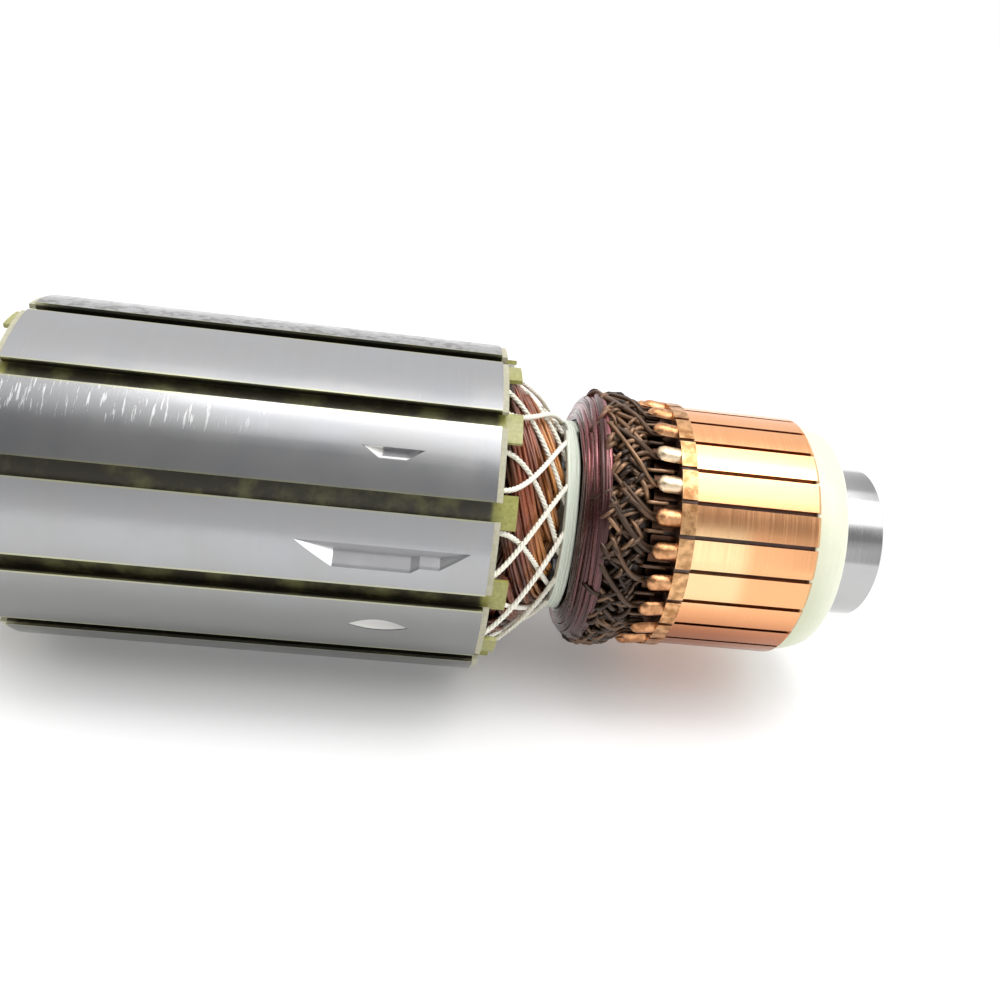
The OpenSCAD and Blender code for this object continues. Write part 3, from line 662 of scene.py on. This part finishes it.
def makeCord(name, dark, light, rough, coat=0.0):
    material, tree, shader = newMaterial(name, Coat_Weight=coat, Coat_Roughness=0.2, Sheen_Weight=0.2)
    shade = put(tree, "Attribute", {"attribute_name": "shade"}).outputs["Fac"]
    fibres = useGroup(tree, blotches, Size=0.12, Cover=0.5, Edge=0.2)[0]
    tone = blend(tree, shade, dark, light)
    tone = blend(tree, times(tree, fibres, 0.25), tone, dark)
    wire(tree, shader, Base_Color=tone, Roughness=fade(tree, fibres, 0.0, 1.0, rough * 0.9, rough),
         Normal=bump(tree, fibres, 0.02, 0.6))
    return material


finishes = {
    "core_steel": makeCoreSteel(coreFinish),
    "ground_steel": makeTurnedSteel("groundSteel", (0.5, 0.5, 0.52), (0.68, 0.68, 0.7), 0.28),
    "bearing_steel": makeTurnedSteel("bearingSteel", (0.4, 0.4, 0.4), (0.5, 0.5, 0.5), 0.16, 0.08),
    "shield_steel": makeTurnedSteel("shieldSteel", (0.4, 0.41, 0.43), (0.55, 0.56, 0.58), 0.35),
    "bush_steel": makeTurnedSteel("bushSteel", (0.4, 0.4, 0.39), (0.58, 0.57, 0.55), 0.4),
    "sleeve_plastic": makeDull("sleevePlastic", (0.8, 0.76, 0.58), (0.68, 0.63, 0.45), 0.5, 0.5),
    "fibre_board": makeDull("fibreBoard", (0.54, 0.52, 0.4), (0.4, 0.38, 0.27), 0.7, 0.4),
    "slot_paper": makeSlotPaper(paperFinish),
    "moulded_resin": makeResin(resinFinish),
    "cage_plastic": makeDull("cagePlastic", (0.7, 0.66, 0.5), (0.6, 0.55, 0.4), 0.5, 0.3),
    "commutator_copper": makeCopper(copperFinish),
    "enamelled_wire": makeWire("enamelledWire", enamelFinish),
    "varnished_leads": makeWire("varnishedLeads", leadFinish),
    "lacing_cord": makeCord("lacingCord", (0.84, 0.82, 0.68), (0.96, 0.94, 0.84), 0.8),
    "band_cord": makeCord("bandCord", (0.66, 0.74, 0.6), (0.86, 0.9, 0.8), 0.45, 0.3),
}
glossyTurns = makeWire("glossyTurns", shoulderFinish)
print("finishes mixed:", len(finishes) + 1)


# Shapes are worked out in millimetres: a station along the shaft, a radius, an angle from the top

def ease(low, high, value):
    t = min(1.0, max(0.0, (value - low) / (high - low)))
    return t * t * (3 - 2 * t)


def mix(first, second, t):
    return first + (second - first) * t


def polar(along, radius, angle):
    turn = math.radians(angle)
    return Vector((along, -radius * math.sin(turn), radius * math.cos(turn)))


def outward(angle, lean=0.0):
    turn, tip = math.radians(angle), math.radians(lean)
    return Vector((math.sin(tip), -math.cos(tip) * math.sin(turn), math.cos(tip) * math.cos(turn)))


def axes(path, normals, closed=False):
    count = len(path)
    result = []
    for i, normal in enumerate(normals):
        after = path[(i + 1) % count] if closed else path[min(i + 1, count - 1)]
        before = path[i - 1] if closed or i > 0 else path[0]
        along = (after - before).normalized()
        across = along.cross(normal).normalized()
        result.append((across, across.cross(along)))
    return result


# The points, the faces and each point's shade, for any number of wires in one mesh
class Shape:
    def __init__(self):
        self.points, self.faces, self.shades = [], [], []

    def skin(self, rings, sides, closed, shade):
        base = len(self.points)
        for ring in rings:
            self.points.extend(ring)
        self.shades.extend([shade] * (len(rings) * sides))
        for i in range(len(rings) if closed else len(rings) - 1):
            j = (i + 1) % len(rings)
            for k in range(sides):
                n = (k + 1) % sides
                self.faces.append([base + i * sides + k, base + i * sides + n,
                                   base + j * sides + n, base + j * sides + k])
        if not closed:
            self.faces.append([base + k for k in reversed(range(sides))])
            self.faces.append([base + (len(rings) - 1) * sides + k for k in range(sides)])

    def tube(self, path, normals, radius, shade, sides=6, closed=False):
        turns = [2 * math.pi * k / sides for k in range(sides)]
        corners = [(math.cos(turn), math.sin(turn)) for turn in turns]
        rings = []
        for place, (across, up) in zip(path, axes(path, normals, closed)):
            rings.append([place + across * (c * radius) + up * (s * radius) for c, s in corners])
        self.skin(rings, sides, closed, shade)


def finishPiece(piece, material, slot, *replaced):
    piece.data.materials.append(material)
    bpy.ops.object.mode_set(mode="EDIT")
    bpy.ops.mesh.select_all(action="SELECT")
    bpy.ops.mesh.normals_make_consistent(inside=False)
    bpy.ops.object.mode_set(mode="OBJECT")
    bpy.ops.object.shade_smooth()
    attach(piece, "armature")
    if replaced:
        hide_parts(*replaced)


def newPiece(name, shape, material, slot, *replaced):
    mesh = bpy.data.meshes.new(name)
    mesh.from_pydata([p * mm for p in shape.points], [], shape.faces)
    mesh.attributes.new("shade", "FLOAT", "POINT").data.foreach_set("value", shape.shades)
    piece = bpy.data.objects.new(name, mesh)
    bpy.context.scene.collection.objects.link(piece)
    bpy.ops.object.select_all(action="DESELECT")
    piece.select_set(True)
    bpy.context.view_layer.objects.active = piece
    finishPiece(piece, material, slot, *replaced)


# The cone that the end windings and their lacing lie on: it drops from the core's face to the neck

crownSetup = {
    "faceDrop": 1.5,
    "neckRadius": 13.0,
    "neckAt": 11.3,
    "straight": 0.68,
    "curved": 0.32,
}
crownDrop = coreRadius - crownSetup["faceDrop"] - crownSetup["neckRadius"]


def crown(distance):
    t = distance / crownSetup["neckAt"]
    share = crownSetup["straight"] * t + crownSetup["curved"] * t * t
    return coreRadius - crownSetup["faceDrop"] - crownDrop * share


def crownLean(distance):
    t = min(1.0, max(0.0, distance / crownSetup["neckAt"]))
    slope = crownSetup["straight"] + 2 * crownSetup["curved"] * t
    return math.degrees(math.atan(crownDrop / crownSetup["neckAt"] * slope))


def crownAt(distance, depth):
    return crown(distance) - depth / math.cos(math.radians(crownLean(distance)))


# Coils: twelve loops of enamelled wire, each wire on its own wandering way in its bundle

coilSetup = {
    "halfSpan": 75.0,
    "cuff": 1.0,
    "leave": 1.9,
    "apex": 9.2,
    "exitTurn": 6.0,
    "noseTurn": 4.0,
    "crossing": 7.0,
    "exitSteps": 5,
    "runSteps": 14,
    "noseSteps": 6,
    "upperRadius": 19.55,
    "lowerRadius": 15.8,
    "outerDepth": 2.2,
    "innerDepth": 4.5,
    "slotUpper": (4.2, 2.4),
    "slotLower": (3.0, 2.9),
    "bundle": (3.3, 2.0),
    "columns": 5,
    "rows": 3,
    "wireRadius": 0.31,
    "wander": 0.42,
    "wanderAside": 1.6,
    "wanderStep": 0.13,
    "seed": 5,
}


def bend(first, corner, last, t):
    return tuple(a * (1 - t) ** 2 + b * 2 * t * (1 - t) + c * t * t
                 for a, b, c in zip(first, corner, last))


# One end turn as angles and distances from the core's face, with its second half the mirror of its first
def endTurn(setup):
    span, leave, apex = setup["halfSpan"], setup["leave"], setup["apex"]
    exitSteps, runSteps, noseSteps = setup["exitSteps"], setup["runSteps"], setup["noseSteps"]
    rate = (apex - leave) / span
    out = (-span + setup["exitTurn"], leave + setup["exitTurn"] * rate)
    tip = (-setup["noseTurn"], apex - setup["noseTurn"] * rate)
    start = (-span, setup["cuff"] + 0.3)
    half = [(-span, 0.0)]
    half += [bend(start, (-span, leave), out, i / exitSteps) for i in range(exitSteps + 1)]
    for i in range(1, runSteps):
        half.append((mix(out[0], tip[0], i / runSteps), mix(out[1], tip[1], i / runSteps)))
    half += [bend(tip, (0.0, apex), (-tip[0], tip[1]), i / noseSteps) for i in range(noseSteps // 2 + 1)]
    return half + [(-angle, distance) for angle, distance in reversed(half[:-1])]


# How far a bundle has left its slot's shape for the cone's
def onCone(setup, distance):
    return ease(setup["cuff"] - 0.8, setup["cuff"] + 1.6, distance)


def bundleRadius(setup, angle, distance):
    layer = ease(-setup["crossing"], setup["crossing"], angle)
    cone = crownAt(distance, mix(setup["outerDepth"], setup["innerDepth"], layer))
    return mix(setup["upperRadius"] if angle < 0 else setup["lowerRadius"], cone, onCone(setup, distance))


def coilRoute(setup):
    turn = endTurn(setup)
    route = []
    for face, way, steps in ((coreFront, 1, turn), (coreRear, -1, list(reversed(turn)))):
        for angle, distance in steps:
            lean = way * crownLean(distance) * onCone(setup, distance)
            loose = ease(setup["cuff"] - 0.2, setup["cuff"] + 1.4, distance)
            inSlot = setup["slotLower"] if angle > 0 else setup["slotUpper"]
            size = [mix(a, b, loose) for a, b in zip(inSlot, setup["bundle"])]
            place = polar(face + way * distance, bundleRadius(setup, angle, distance), angle)
            route.append((place, outward(angle, lean), size, loose))
    return route


def coilWire(setup, route, frames, u, v, key):
    path = []
    for i, ((place, _, size, loose), (across, up)) in enumerate(zip(route, frames)):
        drift = [noise.noise(key + Vector((i * setup["wanderStep"], 0, z))) for z in (0, 9)]
        wander = [share * setup["wander"] * loose for share in drift]
        aside = u * (size[0] / 2 - setup["wireRadius"]) + wander[0] * setup["wanderAside"]
        high = v * (size[1] / 2 - setup["wireRadius"]) + wander[1]
        path.append(place + across * aside + up * high)
    return path


def makeCoils(setup, material):
    rng = random.Random(setup["seed"])
    route = coilRoute(setup)
    normals = [step[1] for step in route]
    frames = axes([step[0] for step in route], normals, closed=True)
    for coil in range(1, slotCount + 1):
        spin = Matrix.Rotation(math.radians(slotPitch * (coil - 0.5)), 3, "X")
        turned = [spin @ n for n in normals]
        shape = Shape()
        for row in range(setup["rows"]):
            for column in range(setup["columns"]):
                key = Vector((rng.uniform(0, 50), rng.uniform(0, 50), 0))
                u = (column + 0.5) / setup["columns"] * 2 - 1
                v = (row + 0.5) / setup["rows"] * 2 - 1
                path = [spin @ p for p in coilWire(setup, route, frames, u, v, key)]
                shape.tube(path, turned, setup["wireRadius"], rng.random(), closed=True)
        newPiece("coilWires_%02d" % coil, shape, material, "enamelled_wire", "coil_%02d" % coil)


# Lacing: three-ply cord that crosses itself over every tooth and runs on to the neck

lacingSetup = {
    "start": 8.1,
    "startDrift": (-0.7, 0.7),
    "late": 1.9,
    "lateDrift": (-0.5, 0.6),
    "sweep": 45.0,
    "sweepDrift": (-4, 4),
    "sag": (0, 0.25),
    "from": 0.45,
    "to": 10.5,
    "steps": 160,
    "plies": 3,
    "ply": 0.2,
    "twist": 0.19,
    "pitch": 2.0,
    "spacing": 0.28,
    "seed": 11,
}


def evenly(points, spacing):
    result, left = [points[0]], spacing
    for first, last in zip(points, points[1:]):
        length = (last - first).length
        while length > left:
            first = first + (last - first) * (left / length)
            length = (last - first).length
            result.append(first)
            left = spacing
        left -= length
    return result


def twistCord(shape, path, normals, setup, rng):
    frames = axes(path, normals)
    shade = rng.uniform(0.3, 1.0)
    begin = rng.uniform(0, 6.28)
    turns = len(path) * setup["spacing"] / setup["pitch"]
    for ply in range(setup["plies"]):
        strand = []
        for i, (place, (across, up)) in enumerate(zip(path, frames)):
            turn = begin + 2 * math.pi * (turns * i / len(path) + ply / setup["plies"])
            strand.append(place + (across * math.cos(turn) + up * math.sin(turn)) * setup["twist"])
        shape.tube(strand, normals, setup["ply"], min(1.0, shade + rng.uniform(-0.15, 0.15)), 5)


def makeLacing(setup, name, face, way, material, node):
    rng = random.Random(setup["seed"] + way)
    shape = Shape()
    cord = setup["ply"] + setup["twist"]
    for tooth in range(slotCount):
        middle = (tooth + 0.5) * slotPitch
        for side, depth in ((1, cord), (-1, cord * 3)):
            start = setup["start"] + rng.uniform(*setup["startDrift"])
            late = setup["late"] + rng.uniform(*setup["lateDrift"])
            sweep = setup["sweep"] + rng.uniform(*setup["sweepDrift"])
            sag = rng.uniform(*setup["sag"])
            fine = []
            for i in range(setup["steps"] + 1):
                t = i / setup["steps"]
                distance = mix(setup["from"], setup["to"], t)
                radius = crownAt(distance, depth + sag * math.sin(math.pi * t))
                angle = middle + side * (start - sweep * t ** late)
                fine.append(polar(face + way * distance, radius, angle))
            path = evenly(fine, setup["spacing"])
            normals = []
            for p in path:
                lean = way * crownLean(way * (p.x - face))
                normals.append(outward(math.degrees(math.atan2(-p.y, p.z)), lean))
            twistCord(shape, path, normals, setup, rng)
    newPiece(name, shape, material, "lacing_cord", node)


# Bands: cord wound round the neck and the tail and set in varnish

bandSetup = {
    "cord": 0.31,
    "layers": (12.75, 13.25, 13.58),
    "packing": 1.7,
    "wander": 0.1,
    "lumpScale": 2,
    "lumpStep": 0.01,
    "lumpRise": 0.6,
    "spread": 0.15,
    "steps": 120,
    "seed": 23,
}


def makeBand(setup, name, node, material):
    rng = random.Random(setup["seed"])
    low, high = ends(node)
    low, high = low - setup["spread"], high + setup["spread"]
    cord, scale = setup["cord"], setup["lumpScale"]
    turns = max(2, round((high - low) / cord / setup["packing"]))
    shape = Shape()
    for radius in setup["layers"]:
        key = Vector((rng.uniform(0, 50), 0, 0))
        path, normals = [], []
        for i in range(turns * setup["steps"] + 1):
            angle = 360 * i / setup["steps"]
            turn = math.radians(angle)
            around = Vector((math.cos(turn) * scale, math.sin(turn) * scale, i * setup["lumpStep"]))
            lump = noise.noise(key + around) * setup["wander"]
            along = mix(low + cord, high - cord, angle / 360 / turns)
            path.append(polar(along + lump, radius + lump * setup["lumpRise"], angle))
            normals.append(outward(angle))
        shape.tube(path, normals, cord, rng.uniform(0.4, 0.9))
    newPiece(name, shape, material, "band_cord", node)


# Leads: turns of wire round a varnished bed, and crossing strands that run on to the hooks

leadOutside = 18.85
leadWire = 0.42
strandsFrom = shoulderAt + 2.2

bedSetup = {
    "segments": 120,
    "seat": 12.4,
    "depth": 2.3,
    "endRadius": 16.0,
    "backRadius": 14.4,
    "lumps": 0.35,
    "lumpSize": 1.6,
}


# A ring drawn out along its profile and joined to its own start, then lumped outside its seat
def makeLeadBed(setup, material):
    low, high = ends("lead_collar")
    inside = reach("shaft_sleeve")
    shoulder = shoulderAt + 0.2
    seat, back = setup["seat"], setup["backRadius"]
    bed = leadOutside - setup["depth"]
    profile = [(low, inside), (low, seat), (shoulder, seat)]
    profile += [(shoulder + 0.1 * i, seat + i) for i in range(1, 4)]
    profile += [(shoulder + 0.9, bed - 0.5), (shoulder + 1.8, bed)]
    profile += [(mix(shoulder + 1.8, hookRear - 2.4, i / 5), bed) for i in range(1, 6)]
    profile += [(hookRear - 1.2, bed - 0.3), (hookRear - 0.4, setup["endRadius"])]
    profile += [(hookRear - 0.35, back + 0.1), (high, back), (high, inside), (low, inside)]
    bpy.ops.object.select_all(action="DESELECT")
    bpy.ops.mesh.primitive_circle_add(vertices=setup["segments"], radius=inside * mm, fill_type="NOTHING",
                                      location=(low * mm, 0, 0), rotation=(0, math.pi / 2, 0))
    piece = bpy.context.object
    piece.name = "leadBed"
    bpy.ops.object.transform_apply(location=True, rotation=True)
    bpy.ops.object.mode_set(mode="EDIT")
    bpy.ops.mesh.select_all(action="SELECT")
    for (along, radius), (nextAlong, nextRadius) in zip(profile, profile[1:]):
        bpy.ops.mesh.extrude_region_move(TRANSFORM_OT_translate={"value": ((nextAlong - along) * mm, 0, 0)})
        ratio = nextRadius / radius
        bpy.ops.transform.resize(value=(1, ratio, ratio), center_override=(nextAlong * mm, 0, 0))
    bpy.ops.mesh.select_all(action="SELECT")
    bpy.ops.mesh.remove_doubles(threshold=0.01 * mm)
    bpy.ops.mesh.normals_make_consistent(inside=False)
    bpy.ops.object.mode_set(mode="OBJECT")
    outer = piece.vertex_groups.new(name="outer")
    lumpy = [v.index for v in piece.data.vertices if math.hypot(v.co.y, v.co.z) > (seat + 0.1) * mm]
    outer.add(lumpy, 1.0, "REPLACE")
    clouds = bpy.data.textures.new("bedLumps", "CLOUDS")
    clouds.noise_scale = setup["lumpSize"] * mm
    lumps = piece.modifiers.new("lumps", "DISPLACE")
    lumps.texture = clouds
    lumps.texture_coords = "LOCAL"
    lumps.vertex_group = "outer"
    lumps.strength = setup["lumps"] * 2 * mm
    lumps.mid_level = 0.5
    bpy.ops.object.modifier_apply(modifier="lumps")
    finishPiece(piece, material, "varnished_leads", "lead_collar")


turnSetup = {
    "turns": 13,
    "segments": 120,
    "from": 0.3,
    "firstRadius": 13.9,
    "lastInset": 0.95,
    "depth": 2.6,
    "wanderAlong": 0.45,
    "wanderOut": 0.3,
    "waves": 1.3,
    "seed": 31,
}


# Turns of wire side by side over the rounded shoulder of the bed
def makeShoulderTurns(setup, material):
    rng = random.Random(setup["seed"])
    shape = Shape()
    for turn in range(setup["turns"]):
        t = turn / (setup["turns"] - 1)
        bulge = math.radians(mix(0, 90, ease(-0.2, 1, t)))
        along = shoulderAt + setup["from"] + setup["depth"] * (1 - math.cos(bulge))
        radius = mix(setup["firstRadius"], leadOutside - setup["lastInset"], math.sin(bulge))
        key = Vector((rng.uniform(0, 90), 0, 0))
        path, normals = [], []
        for k in range(setup["segments"]):
            angle = 360 * k / setup["segments"]
            around = Vector((math.cos(math.radians(angle)), math.sin(math.radians(angle)), 0))
            drift = [noise.noise(key + around * setup["waves"] + Vector((0, 0, z))) for z in (0, 7)]
            path.append(polar(along + drift[0] * setup["wanderAlong"],
                              radius + drift[1] * setup["wanderOut"], angle))
            normals.append(outward(angle))
        shape.tube(path, normals, leadWire, rng.random(), closed=True)
    newPiece("shoulderTurns", shape, material, "varnished_leads")


# Each strand has a way round the shaft, a depth in mm and the degrees that it ends beside its hook
strandSetup = {
    "strands": ((-1, 0.0, 0.8), (-1, 0.3, -0.8), (1, 0.85, 0.0), (-1, 0.6, 0.2)),
    "begin": (0.0, 2.4),
    "sweep": (13, 33),
    "dip": (0.0, 0.5),
    "aside": (-0.4, 0.4),
    "shift": (-2.5, 2.5),
    "steps": 18,
    "endRadius": 16.6,
    "tufts": 15,
    "seed": 43,
}

tuftSetup = {
    "length": (2.2, 4.2),
    "slant": (20, 65),
    "lift": (-0.5, 0.4),
    "endRadius": 17.6,
    "arch": 5.2,
    "steps": 7,
}

stubSetup = {
    "radius": 16.4,
    "tip": (1.4, 2.6),
}


# A strand that crosses the mass at a slant and straightens on its way to a hook
def leadStrand(shape, setup, rng, hook, way, layer, aside):
    begin = strandsFrom + rng.uniform(*setup["begin"])
    sweep = rng.uniform(*setup["sweep"])
    radius = leadOutside - leadWire - layer - rng.uniform(*setup["dip"])
    last = hookRear - 0.2 if layer > 0.5 else mouldingRear
    aside += rng.uniform(*setup["aside"])
    shift = rng.uniform(*setup["shift"])
    path, normals = [], []
    for i in range(setup["steps"] + 1):
        along = mix(begin, last, i / setup["steps"])
        reached = (along - strandsFrom) / (hookRear - strandsFrom)
        drift = aside + shift * (1 - ease(0.4, 0.95, reached))
        angle = hook + drift + way * sweep * max(0.0, 1 - reached) ** 1.5
        height = mix(radius, setup["endRadius"] - layer * 0.4, ease(0.6, 1.06, reached))
        if i == 0:
            height -= 0.7
        path.append(polar(along, height, angle))
        normals.append(outward(angle))
    shape.tube(path, normals, leadWire * rng.uniform(0.7, 1.0), rng.random() ** 1.5)


# A short length of wire that arches out of the mass and back into it
def tuft(shape, setup, rng, angle):
    along = rng.uniform(strandsFrom + 0.2, hookRear - 1.8)
    length = rng.uniform(*setup["length"])
    slant = math.radians(rng.choice((-1, -1, 1)) * rng.uniform(*setup["slant"]))
    top = mix(leadOutside - leadWire - 0.1, setup["endRadius"], ease(hookRear - 5, hookRear - 0.5, along))
    top += rng.uniform(*setup["lift"])
    path, normals = [], []
    for i in range(setup["steps"] + 1):
        t = i / setup["steps"] - 0.5
        turn = angle + math.degrees(t * length * math.sin(slant) / top)
        path.append(polar(along + t * length * math.cos(slant), top - setup["arch"] * t * t, turn))
        normals.append(outward(turn))
    shape.tube(path, normals, leadWire * rng.uniform(0.6, 0.95), rng.random() ** 2)


# A cut end of wire that stands out between two hooks
def leadStub(shape, setup, rng, angle):
    tip = rng.uniform(*setup["tip"])
    path = []
    for along in (-1.2, -0.2, 0.8, tip):
        path.append(polar(hookRear + along, setup["radius"] + 0.2 * rng.random(), angle))
    shape.tube(path, [outward(angle)] * len(path), leadWire * 0.7, rng.random())


def makeLeadStrands(setup, material):
    rng = random.Random(setup["seed"])
    shape = Shape()
    for bar in range(barCount):
        hook = barLead + bar * barPitch
        for way, layer, aside in setup["strands"]:
            leadStrand(shape, setup, rng, hook, way, layer, aside)
        for _ in range(setup["tufts"]):
            tuft(shape, tuftSetup, rng, hook + rng.uniform(0, barPitch))
        leadStub(shape, stubSetup, rng, hook + barPitch / 2 + rng.uniform(-1, 1))
    newPiece("leadStrands", shape, material, "varnished_leads", "lead_wires")


makeCoils(coilSetup, finishes["enamelled_wire"])
print("coils wound")
makeLacing(lacingSetup, "lacingFront", coreFront, 1, finishes["lacing_cord"], "lacing_front")
makeLacing(lacingSetup, "lacingRear", coreRear, -1, finishes["lacing_cord"], "lacing_rear")
makeBand(bandSetup, "neckBand", "neck_band", finishes["band_cord"])
makeBand(bandSetup, "tailBand", "tail_band", finishes["band_cord"])
print("lacing and bands tied")
makeLeadBed(bedSetup, finishes["varnished_leads"])
makeShoulderTurns(turnSetup, glossyTurns)
makeLeadStrands(strandSetup, finishes["varnished_leads"])
print("leads laid")

slotOf = {s["node"]: s["material_slot"] for s in frame["record"]["subparts"]}
for name, node in cadNodes.items():
    node.data.materials.clear()
    node.data.materials.append(finishes[slotOf[name]])
print("finishes on", len(cadNodes), "pieces")
